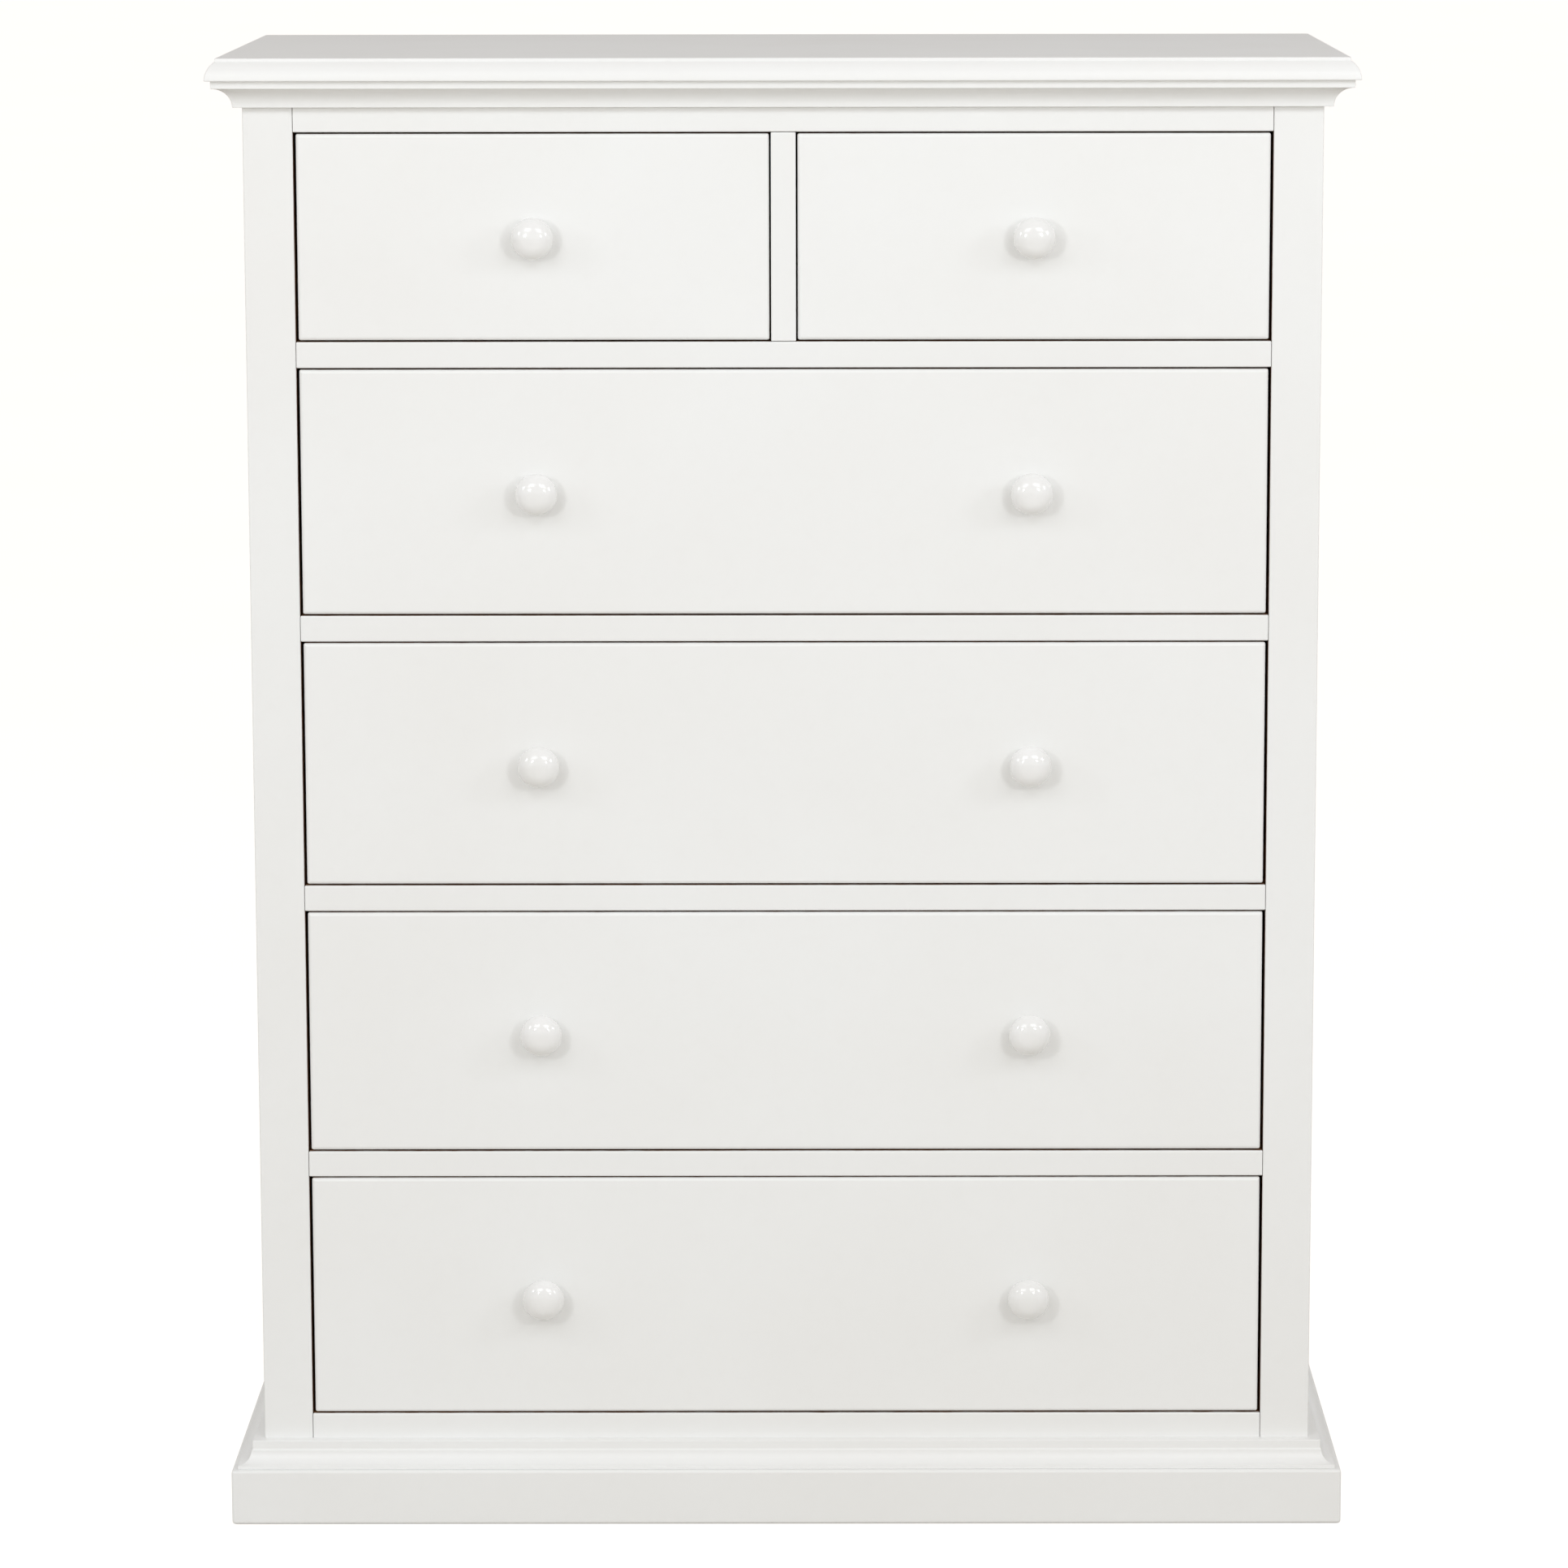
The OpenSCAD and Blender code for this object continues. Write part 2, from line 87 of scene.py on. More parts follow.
class Tree:
    """A small helper around a material's node tree."""

    def __init__(self, name):
        self.mat = bpy.data.materials.new(name)
        self.mat.use_nodes = True
        self.nt = self.mat.node_tree
        self.nt.nodes.clear()
        self.out = self.nt.nodes.new("ShaderNodeOutputMaterial")
        self.bsdf = self.nt.nodes.new("ShaderNodeBsdfPrincipled")
        self.nt.links.new(self.bsdf.outputs[0], self.out.inputs[0])

    def link(self, a, b):
        self.nt.links.new(a, b)

    def put(self, socket, v):
        if isinstance(v, bpy.types.NodeSocket):
            self.link(v, socket)
        else:
            socket.default_value = v

    def attr(self, name):
        n = self.nt.nodes.new("ShaderNodeAttribute")
        n.attribute_name = name
        return n.outputs["Vector"]

    def obj(self):
        return self.nt.nodes.new("ShaderNodeTexCoord").outputs["Object"]

    def mapping(self, v, scale, loc=(0, 0, 0)):
        n = self.nt.nodes.new("ShaderNodeMapping")
        self.put(n.inputs["Vector"], v)
        n.inputs["Scale"].default_value = scale
        n.inputs["Location"].default_value = loc
        return n.outputs[0]

    def noise(self, v, scale, detail=2.0, rough=0.5, dist=0.0):
        n = self.nt.nodes.new("ShaderNodeTexNoise")
        self.put(n.inputs["Vector"], v)
        n.inputs["Scale"].default_value = scale
        n.inputs["Detail"].default_value = detail
        n.inputs["Roughness"].default_value = rough
        n.inputs["Distortion"].default_value = dist
        return n.outputs[0]

    def voronoi(self, v, scale):
        n = self.nt.nodes.new("ShaderNodeTexVoronoi")
        self.put(n.inputs["Vector"], v)
        n.inputs["Scale"].default_value = scale
        return n.outputs["Distance"]

    def ramp(self, f, stops):
        n = self.nt.nodes.new("ShaderNodeValToRGB")
        e = n.color_ramp.elements
        while len(e) > 1:
            e.remove(e[-1])
        e[0].position, e[0].color = stops[0]
        for p, c in stops[1:]:
            x = e.new(p)
            x.color = c
        self.put(n.inputs[0], f)
        return n.outputs["Color"]

    def remap(self, f, a, b, c, d):
        n = self.nt.nodes.new("ShaderNodeMapRange")
        n.clamp = True
        self.put(n.inputs["Value"], f)
        n.inputs["From Min"].default_value = a
        n.inputs["From Max"].default_value = b
        n.inputs["To Min"].default_value = c
        n.inputs["To Max"].default_value = d
        return n.outputs[0]

    def mix(self, f, a, b, mode="MIX"):
        n = self.nt.nodes.new("ShaderNodeMix")
        n.data_type = "RGBA"
        n.blend_type = mode
        self.put(n.inputs[0], f)
        self.put(n.inputs[6], a)
        self.put(n.inputs[7], b)
        return n.outputs[2]

    def math(self, op, a, b=0.0):
        n = self.nt.nodes.new("ShaderNodeMath")
        n.operation = op
        self.put(n.inputs[0], a)
        self.put(n.inputs[1], b)
        return n.outputs[0]

    def axis(self, v, k):
        n = self.nt.nodes.new("ShaderNodeSeparateXYZ")
        self.put(n.inputs[0], v)
        return n.outputs[k]

    def bump(self, h, strength, distance, normal=None):
        n = self.nt.nodes.new("ShaderNodeBump")
        n.inputs["Strength"].default_value = strength
        n.inputs["Distance"].default_value = distance
        self.put(n.inputs["Height"], h)
        if normal is not None:
            self.link(normal, n.inputs["Normal"])
        return n.outputs[0]


def pine_layers(t, tone=1.0, dark=False, bare_shade_pair=None):
    """Colour, roughness and height of planed softwood. The grain runs along the first axis of gco."""
    g = t.attr("gco")
    hills = t.noise(t.mapping(g, (0.45, 5.6, 5.6)), 1.0, 1.5, 0.4)
    ring = t.math("FRACT", t.math("MULTIPLY", hills, 23.0))
    early, late = ((224, 190, 142), (204, 160, 110)) if not dark else ((206, 170, 124), (182, 138, 92))
    # a given pair of tones is the darker bare wood behind the paint, partly wood colour and partly painted shade for
    # the gaps
    early, late = bare_shade_pair or (early, late)
    early = tuple(min(255, v * tone) for v in early)
    late = tuple(min(255, v * tone) for v in late)
    col = t.ramp(ring, [(0.0, srgb(*early)), (0.55, srgb(*[e * 0.62 + l * 0.38 for e, l in zip(early, late)])),
                        (0.9, srgb(*late)), (0.965, srgb(*early))])
    fibre = t.noise(t.mapping(g, (9.0, 900.0, 900.0)), 1.0, 3.0, 0.6)
    soft, bright = (srgb(172, 124, 78), srgb(234, 202, 156)) if not bare_shade_pair else (srgb(124, 82, 50), srgb(174, 124, 80))
    col = t.mix(t.remap(fibre, 0.3, 0.72, 0.0, 0.32), col, soft, "MIX")
    broad = t.noise(t.mapping(g, (1.3, 9.0, 9.0)), 1.0, 2.0)
    col = t.mix(t.remap(broad, 0.3, 0.7, 0.0, 0.35), col, bright, "MIX")
    knot = t.voronoi(t.mapping(g, (2.6, 8.5, 8.5)), 1.0)
    col = t.mix(t.remap(knot, 0.045, 0.13, 0.85, 0.0), col, srgb(110, 66, 36), "MIX")
    rough = t.remap(fibre, 0.2, 0.8, 0.48, 0.66)
    height = t.math("ADD", t.math("MULTIPLY", fibre, 0.6), t.math("MULTIPLY", ring, 0.25))
    return col, rough, height


def pine(name, tone=1.0, dark=False):
    t = Tree(name)
    col, rough, height = pine_layers(t, tone, dark)
    t.put(t.bsdf.inputs["Base Color"], col)
    t.put(t.bsdf.inputs["Roughness"], rough)
    t.bsdf.inputs["Specular IOR Level"].default_value = 0.35
    t.link(t.bump(height, 0.35, 0.0004), t.bsdf.inputs["Normal"])
    return t.mat


def ply(name):
    t = Tree(name)
    g = t.attr("gco")
    # a peeled veneer shows the growth rings as long, closed contours
    hills = t.noise(t.mapping(g, (0.62, 3.4, 3.4)), 1.0, 1.6, 0.42)
    w = t.math("FRACT", t.math("MULTIPLY", hills, 17.0))
    col = t.ramp(w, [(0.0, srgb(214, 186, 146)), (0.45, srgb(210, 180, 138)), (0.82, srgb(199, 166, 122)),
                     (0.92, srgb(192, 157, 112)), (1.0, srgb(213, 185, 145))])
    fibre = t.noise(t.mapping(g, (14.0, 700.0, 700.0)), 1.0, 3.0, 0.65)
    col = t.mix(t.remap(fibre, 0.32, 0.72, 0.0, 0.4), col, srgb(176, 140, 98), "MIX")
    spots = t.noise(t.mapping(g, (3.0, 14.0, 14.0)), 1.0, 3.0)
    col = t.mix(t.remap(spots, 0.35, 0.75, 0.0, 0.3), col, srgb(228, 206, 170), "MIX")
    t.put(t.bsdf.inputs["Base Color"], col)
    t.put(t.bsdf.inputs["Roughness"], t.remap(fibre, 0.2, 0.8, 0.5, 0.7))
    t.bsdf.inputs["Specular IOR Level"].default_value = 0.3
    t.link(t.bump(fibre, 0.3, 0.0003), t.bsdf.inputs["Normal"])
    return t.mat


def paint(name, warm, light, bare_shade_from=None, bare_side=None, bare_shade_within=None):
    """Sprayed satin paint: faint tone shifts, the grain just telegraphing through, a fine orange peel, and roughness
    that drifts. Behind the given depth (object Y), or nearer the middle than the given side (object X), the board is
    bare pine with a soft overspray edge. Its brown is darker than the drawer pine: partly the bare wood, partly painted
    shade in the gaps and recesses where it lies."""
    t = Tree(name)
    o = t.obj()
    g = t.attr("gco")
    drift = t.noise(o, 2.6, 3.0, 0.55)
    col = t.mix(t.remap(drift, 0.3, 0.7, 0.0, 1.0), light, warm)
    speck = t.noise(o, 75.0, 3.0, 0.6)
    col = t.mix(t.remap(speck, 0.5, 0.8, 0.0, 0.05), col, srgb(226, 223, 217))
    grain = t.noise(t.mapping(g, (5.0, 240.0, 240.0)), 1.0, 3.0, 0.55)
    peel = t.noise(o, 520.0, 2.0, 0.5)
    rough = t.remap(t.noise(o, 11.0, 3.0, 0.6), 0.25, 0.75, 0.29, 0.37)
    height = t.math("ADD", t.math("MULTIPLY", grain, 0.5), t.math("MULTIPLY", peel, 0.35))
    wavy = t.noise(o, 6.0, 1.0, 0.4)
    if bare_shade_from is not None or bare_side is not None:
        # painted shade: the bare wood takes darker brown tones so the gaps between the parts read dark, on top of being
        # unpainted wood
        pc, pr, ph = pine_layers(t, 1.0, bare_shade_pair=((166, 118, 76), (122, 80, 48)))
        fuzz = t.math("MULTIPLY", t.math("SUBTRACT", t.noise(o, 60.0, 3.0), 0.5), 0.005)
        if bare_shade_from is not None:
            d = t.math("ADD", t.axis(o, 1), fuzz)
            mask = t.remap(d, bare_shade_from - 0.0012, bare_shade_from + 0.0014, 0.0, 1.0)
            if bare_shade_within is not None:
                mask = t.math("MULTIPLY", mask, t.remap(t.math("ABSOLUTE", t.axis(o, 0)), bare_shade_within, bare_shade_within + 0.001, 1.0, 0.0))
        else:
            d = t.math("ADD", t.math("ABSOLUTE", t.axis(o, 0)), fuzz)
            mask = t.remap(d, bare_side - 0.002, bare_side + 0.002, 1.0, 0.0)
        col = t.mix(mask, col, pc)
        n = t.nt.nodes.new("ShaderNodeMix")
        n.data_type = "FLOAT"
        t.put(n.inputs[0], mask)
        t.put(n.inputs[2], rough)
        t.put(n.inputs[3], pr)
        rough = n.outputs[0]
    t.put(t.bsdf.inputs["Base Color"], col)
    t.put(t.bsdf.inputs["Roughness"], rough)
    t.bsdf.inputs["IOR"].default_value = 1.47
    t.bsdf.inputs["Specular IOR Level"].default_value = 0.5
    first = t.bump(wavy, 0.10, 0.001)
    t.link(t.bump(height, 0.10, 0.00025, first), t.bsdf.inputs["Normal"])
    return t.mat


def knob_paint(name):
    """Gloss paint on a turned knob: faint rings from the lathe and a few soft pits."""
    t = Tree(name)
    o = t.obj()
    drift = t.noise(o, 30.0, 2.0)
    col = t.mix(t.remap(drift, 0.3, 0.7, 0.0, 1.0), srgb(244, 244, 243), srgb(240, 240, 238))
    lathe = t.noise(t.mapping(t.attr("gco"), (1.0, 1.0, 1.0)), 420.0, 2.0)
    t.put(t.bsdf.inputs["Base Color"], col)
    t.put(t.bsdf.inputs["Roughness"], t.remap(t.noise(o, 60.0, 3.0), 0.3, 0.7, 0.09, 0.15))
    t.bsdf.inputs["IOR"].default_value = 1.5
    t.bsdf.inputs["Coat Weight"].default_value = 0.5
    t.bsdf.inputs["Coat Roughness"].default_value = 0.05
    soft = t.bump(t.noise(o, 55.0, 1.0), 0.12, 0.0006)
    t.link(t.bump(lathe, 0.04, 0.00015, soft), t.bsdf.inputs["Normal"])
    return t.mat


def steel(name):
    t = Tree(name)
    o = t.obj()
    n1 = t.noise(o, 260.0, 3.0, 0.6)
    col = t.mix(t.remap(n1, 0.3, 0.7, 0.0, 1.0), srgb(196, 198, 200), srgb(168, 168, 166))
    t.put(t.bsdf.inputs["Base Color"], col)
    t.bsdf.inputs["Metallic"].default_value = 1.0
    t.put(t.bsdf.inputs["Roughness"], t.remap(n1, 0.25, 0.75, 0.29, 0.42))
    t.link(t.bump(t.noise(o, 900.0, 2.0), 0.15, 0.0001), t.bsdf.inputs["Normal"])
    return t.mat


PAINT_LIGHT, PAINT_WARM = srgb(243, 244, 243), srgb(240, 240, 238)
M_PAINT = paint("carcass_paint", PAINT_WARM, PAINT_LIGHT)
# edges of the frame and fronts behind the face, and the sides' inner faces, turn to bare wood in a darker brown: partly
# wood, partly painted shade in the gaps
M_FRAME = paint("frame_paint", PAINT_WARM, PAINT_LIGHT, bare_shade_from=YF + 0.0034, bare_shade_within=HW - 0.006)
M_SIDE = paint("side_paint", PAINT_WARM, PAINT_LIGHT, bare_side=HI + 0.004)
M_FRONT = paint("front_paint", srgb(241, 241, 239), srgb(244, 245, 244), bare_shade_from=YF + 0.0042)
M_KNOB = knob_paint("knob_paint")
M_PINE = pine("pine")
M_PINE_IN = pine("pine_inside", 0.97, True)
M_PLY = ply("plywood")
M_STEEL = steel("screw_steel")

# ---------------------------------------------------------------- mesh helpers


def grain_coords(me, name):
    """Stores gco on every point: the place along, across and through the grain, with an offset of its own for
    each loose board, so that no two boards share a figure."""
    rng = random.Random("grain-" + name)
    n = len(me.vertices)
    parent = list(range(n))

    def find(a):
        while parent[a] != a:
            parent[a] = parent[parent[a]]
            a = parent[a]
        return a

    for e in me.edges:
        a, b = find(e.vertices[0]), find(e.vertices[1])
        if a != b:
            parent[a] = b
    groups = {}
    for i in range(n):
        groups.setdefault(find(i), []).append(i)
    gco = [0.0] * (3 * n)
    for key in sorted(groups):
        ids = groups[key]
        lo = [min(me.vertices[i].co[k] for i in ids) for k in range(3)]
        hi = [max(me.vertices[i].co[k] for i in ids) for k in range(3)]
        size = [hi[k] - lo[k] for k in range(3)]
        order = sorted(range(3), key=lambda k: -size[k])
        off = [rng.uniform(-9, 9) for _ in range(3)]
        for i in ids:
            co = me.vertices[i].co
            for j in range(3):
                gco[3 * i + j] = co[order[j]] + off[j]
    a = me.attributes.get("gco") or me.attributes.new("gco", "FLOAT_VECTOR", "POINT")
    a.data.foreach_set("vector", gco)


def new_obj(name, bm):
    me = bpy.data.meshes.new(name)
    bmesh.ops.recalc_face_normals(bm, faces=bm.faces)
    bm.to_mesh(me)
    bm.free()
    ob = bpy.data.objects.new(name, me)
    bpy.context.scene.collection.objects.link(ob)
    return ob


def baked(ob):
    """The object's mesh with its modifiers applied, which then are removed."""
    dg = bpy.context.evaluated_depsgraph_get()
    me = bpy.data.meshes.new_from_object(ob.evaluated_get(dg), depsgraph=dg)
    ob.modifiers.clear()
    ob.data = me
    return ob


def weighted_normals(ob, angle=35.0):
    """Smooth shading with sharp edges above the angle, and flat faces kept flat beside small fillets."""
    me = ob.data
    bm = bmesh.new()
    bm.from_mesh(me)
    lim = math.radians(angle)
    for f in bm.faces:
        f.smooth = True
    for e in bm.edges:
        e.smooth = not (len(e.link_faces) == 2 and e.calc_face_angle(0.0) > lim)
    bm.to_mesh(me)
    bm.free()
    m = ob.modifiers.new("normals", "WEIGHTED_NORMAL")
    m.keep_sharp = True
    m.weight = 80
    return ob


def finish_piece(ob, node, mats):
    """Places and paints a piece that stands for a CAD node, gives it grain coordinates and hides the node."""
    body = NODES[node]["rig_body"]
    ob.data.materials.clear()
    for m in mats:
        ob.data.materials.append(m)
    grain_coords(ob.data, ob.name)
    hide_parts(node)
    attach(ob, body)
    return ob


def cad_bmesh(node):
    """The CAD node's own mesh, welded and with its flat faces made whole again."""
    bm = bmesh.new()
    bm.from_mesh(NODES[node].data)
    bmesh.ops.remove_doubles(bm, verts=bm.verts, dist=2e-6)
    bmesh.ops.dissolve_limit(bm, angle_limit=math.radians(0.4), verts=bm.verts, edges=bm.edges)
    return bm


def bevel_by(ob, radius_of, biggest, segments=4):
    """Rounds each sharp edge by radius_of(a, b), given the edge's two end points, in metres."""
    me = ob.data
    bm = bmesh.new()
    bm.from_mesh(me)
    layer = bm.edges.layers.float.get("bevel_weight_edge") or bm.edges.layers.float.new("bevel_weight_edge")
    for e in bm.edges:
        ang = e.calc_face_angle(0.0) if len(e.link_faces) == 2 else 0.0
        e[layer] = 0.0
        if ang > math.radians(28):
            e[layer] = min(1.0, radius_of(e.verts[0].co, e.verts[1].co) / biggest)
    bm.to_mesh(me)
    bm.free()
    m = ob.modifiers.new("bevel", "BEVEL")
    m.limit_method = "WEIGHT"
    m.width = biggest
    m.segments = segments
    m.use_clamp_overlap = True
    m.miter_outer = "MITER_SHARP"
    return baked(ob)


def refined(node, mats, r=0.5 * MM, segments=2, name=None):
    """A CAD node's own shape with every hard edge softened."""
    ob = new_obj(name or node + "_fine", cad_bmesh(node))
    bevel_by(ob, lambda a, b: r, r, segments)
    weighted_normals(ob)
    return finish_piece(ob, node, mats)


def add_prism(bm, outline, z0, z1):
    """A closed prism with the outline, given in plan, between two heights."""
    low = [bm.verts.new((x, y, z0)) for x, y in outline]
    top = [bm.verts.new((x, y, z1)) for x, y in outline]
    bm.faces.new(list(reversed(low)))
    bm.faces.new(top)
    n = len(outline)
    for i in range(n):
        j = (i + 1) % n
        bm.faces.new((low[i], low[j], top[j], top[i]))


def add_box(bm, lo, hi):
    add_prism(bm, [(lo[0], lo[1]), (hi[0], lo[1]), (hi[0], hi[1]), (lo[0], hi[1])], lo[2], hi[2])


# ------------------------------------------------------- swept mouldings

def arc(cx, cy, r, a0, a1, n):
    """Points on an arc in a profile, angles in degrees."""
    return [(cx + r * math.cos(math.radians(a0 + (a1 - a0) * k / n)),
             cy + r * math.sin(math.radians(a0 + (a1 - a0) * k / n))) for k in range(n + 1)]


def softened(points, radii):
    """A profile's polyline with given corners rounded: radii maps a point's index to a radius."""
    out = []
    n = len(points)
    for i, p in enumerate(points):
        r = radii.get(i, 0.0)
        if r <= 0 or i in (0, n - 1):
            out.append(p)
            continue
        a, b = Vector(points[i - 1]), Vector(points[i + 1])
        c = Vector(p)
        u, v = (a - c), (b - c)
        d = min(r, u.length * 0.45, v.length * 0.45)
        s, e = c + u.normalized() * d, c + v.normalized() * d
        for k in range(5):
            t = k / 4.0
            q = s * (1 - t) ** 2 + c * 2 * t * (1 - t) + e * t * t
            out.append((q.x, q.y))
    return out


def plan_ring(p, part, rc, k=6):
    """The plan line of a moulding at the distance p out from the carcass: part is front, left or right. The
    two front corners are rounded by rc, and a mitre splits each of them in the middle."""
    r = min(rc, p)
    cx, cy = HW + p - r, YF - p + r
    corner = [(cx + r * math.cos(math.radians(-90 + 90 * i / (2 * k))),
               cy + r * math.sin(math.radians(-90 + 90 * i / (2 * k)))) for i in range(2 * k + 1)]
    if part == "front":
        right = corner[:k + 1]
        left = [(-x, y) for x, y in reversed(right)]
        return left + right
    side = corner[k:] + [(HW + p, YB)]
    return side if part == "right" else [(-x, y) for x, y in side]


def sweep(bm, profile, part, rc):
    """Runs a closed profile, as (distance out, height) points, along one part of the chest."""
    rings = [plan_ring(p, part, rc) for p, _ in profile]
    grid = [[bm.verts.new((x, y, z)) for x, y in ring] for ring, (_, z) in zip(rings, profile)]
    n, m = len(profile), len(rings[0])
    for i in range(n):
        j = (i + 1) % n
        for a in range(m - 1):
            bm.faces.new((grid[i][a], grid[i][a + 1], grid[j][a + 1], grid[j][a]))
    bm.faces.new([grid[i][0] for i in range(n)])
    bm.faces.new([grid[i][m - 1] for i in reversed(range(n))])


def moulding(node, profile, parts, rc, name):
    bm = bmesh.new()
    for part in parts:
        sweep(bm, profile, part, rc)
    bmesh.ops.remove_doubles(bm, verts=bm.verts, dist=1e-7)
    ob = new_obj(name, bm)
    weighted_normals(ob, 30.0)
    return finish_piece(ob, node, [M_PAINT])


# Cornice: fillet, cove, thin lower edge
cor = [(0.0, Z_CAR), (24 * MM, Z_CAR), (24 * MM, Z_CAR - 6.5 * MM)]
cor += [(x, y) for x, y in arc(24 * MM, Z_CAR - 23 * MM, 16.5 * MM, 90, 180, 20)][1:]
cor += [(0.0, Z_CAR - 23 * MM)]
cor = softened(cor, {1: 0.4 * MM, 2: 0.6 * MM, len(cor) - 2: 0.7 * MM})
moulding("cornice_front", cor, ["front"], 0.8 * MM, "cornice_front_run")
moulding("cornice_returns", cor, ["left", "right"], 0.8 * MM, "cornice_side_runs")

# Plinth boards
pl = [(0.0, 0.0), (27 * MM, 0.0), (27 * MM, 48 * MM), (0.0, 48 * MM)]
pl = softened(pl, {1: 3.0 * MM, 2: 2.4 * MM})
moulding("plinth_front", pl, ["front"], 2.2 * MM, "plinth_front_board")
moulding("plinth_sides", pl, ["left", "right"], 2.2 * MM, "plinth_side_boards")

# Cap moulding on the plinth: fillet, small bevel, cove, small fillet
H = 48 * MM
cap = [(0.0, H), (22 * MM, H), (22 * MM, H + 3 * MM)]
cap += arc(22 * MM, H + 14 * MM, 11 * MM, -90, -180, 16)[1:]
cap += [(10 * MM, H + 15.2 * MM), (10 * MM, H + 22.5 * MM), (0.0, H + 22.5 * MM)]
cap = softened(cap, {1: 0.5 * MM, 2: 0.5 * MM, len(cap) - 3: 0.5 * MM, len(cap) - 2: 1.0 * MM})
moulding("base_moulding_front", cap, ["front"], 0.9 * MM, "base_moulding_front_run")
moulding("base_moulding_returns", cap, ["left", "right"], 0.9 * MM, "base_moulding_side_runs")


# Top board: thumb moulding under an upright fillet on the front and both ends
def top_piece():
    out = [(28.2 * MM, 0.0), (28.75 * MM, 0.2 * MM), (29.0 * MM, 0.8 * MM)]
    a1 = math.degrees(math.asin(16.0 / 19.5))
    out += [(x, y) for x, y in arc(9.5 * MM, 0.0, 19.5 * MM, 2.5, a1, 18)][1:]
    pin = 9.5 * MM + 19.5 * MM * math.cos(math.radians(a1))
    out += [(pin - 0.15 * MM, 16.35 * MM), (pin - 0.15 * MM, 17.9 * MM), (pin - 0.4 * MM, 18.65 * MM), (pin - 1.15 * MM, 19.0 * MM)]
    bm = bmesh.new()
    k = 6
    rings = []
    for p, z in out:
        r = 1.2 * MM
        cx, cy = HW + p - r, YF - p + r
        corner = [(cx + r * math.cos(math.radians(-90 + 90 * i / (2 * k))),
                   cy + r * math.sin(math.radians(-90 + 90 * i / (2 * k)))) for i in range(2 * k + 1)]
        ring = [(-x, y) for x, y in reversed(corner)] + corner
        ring = [(-(HW + p), YB)] + ring + [(HW + p, YB)]
        rings.append([bm.verts.new((x, y, Z_CAR + z)) for x, y in ring])
    for a, b in zip(rings, rings[1:]):
        m = len(a)
        for i in range(m):
            j = (i + 1) % m
            bm.faces.new((a[i], a[j], b[j], b[i]))
    bm.faces.new(list(reversed(rings[0])))
    bm.faces.new(rings[-1])
    bmesh.ops.remove_doubles(bm, verts=bm.verts, dist=1e-7)
    ob = new_obj("top_board_moulded", bm)
    weighted_normals(ob, 30.0)
    return finish_piece(ob, "top_board", [M_PAINT])


top_piece()

# ------------------------------------------------------------------ face frame


def frame_radius(a, b):
    """The front arrises, and the edges that run back from them, are eased. The rest is nearly square."""
    front = abs(a.y - YF) < 1e-6 and abs(b.y - YF) < 1e-6
    back_run = abs(a.y - YF) < 1e-6 or abs(b.y - YF) < 1e-6
    if front and abs(a.x - b.x) < 1e-6 and abs(abs(a.x) - HO) < 1 * MM and abs(a.z - b.z) < 0.2:
        return 0.7 * MM
    return R_FRAME if front else (0.9 * MM if back_run else 0.3 * MM)


def framed(node, solids, name, mat=None):
    bm = bmesh.new()
    for outline, z0, z1 in solids:
        add_prism(bm, outline, z0, z1)
    ob = new_obj(name, bm)
    bevel_by(ob, frame_radius, R_FRAME, 4)
    weighted_normals(ob)
    return finish_piece(ob, node, [mat or M_FRAME])


def rect(x0, x1, y0, y1):
    return [(x0, y0), (x1, y0), (x1, y1), (x0, y1)]


for side, s in (("left", -1), ("right", 1)):
    x0, x1 = sorted((s * HO, s * HW))
    framed("front_stile_" + side, [(rect(x0, x1, YF, YF + 21 * MM), 0.0, Z_CAR)], f"stile_{side}_eased")

JOINT = 0.4 * MM      # the joints of the face frame stand this far open
rail_plan = [(-HO + JOINT, YF), (HO - JOINT, YF), (HO - JOINT, YF + 21 * MM), (HI, YF + 21 * MM), (HI, YF + 78 * MM),
             (-HI, YF + 78 * MM), (-HI, YF + 21 * MM), (-HO + JOINT, YF + 21 * MM)]
OPEN_TOPS = [1006 * MM, 772 * MM, 538 * MM, 304 * MM]
framed("drawer_rails", [(rail_plan, z, z + 22 * MM) for z in OPEN_TOPS], "drawer_rails_eased")
framed("top_rail", [(rect(-HO + JOINT, HO - JOINT, YF, YF + 21 * MM), 1205 * MM, Z_CAR)], "top_rail_eased")
framed("bottom_rail", [(rect(-HO + JOINT, HO - JOINT, YF, YF + 21 * MM), 48 * MM, 92 * MM)], "bottom_rail_eased")
framed("centre_divider", [(rect(-10.5 * MM, 10.5 * MM, YF, YF + 45 * MM), 1028 * MM + JOINT, 1205 * MM - JOINT)], "centre_divider_eased")

# ------------------------------------------------------- carcass behind it

for side in ("left", "right"):
    refined("side_panel_" + side, [M_SIDE], 0.8 * MM, 3)
refined("back_panel", [M_PLY], 0.3 * MM, 2)
for node in ("drawer_runners", "drawer_guides", "top_kickers", "closing_stops", "pull_out_stops", "bottom_panel", "glue_blocks"):
    refined(node, [M_PINE_IN], 0.5 * MM, 2)

# -------------------------------------------------------------------- drawers


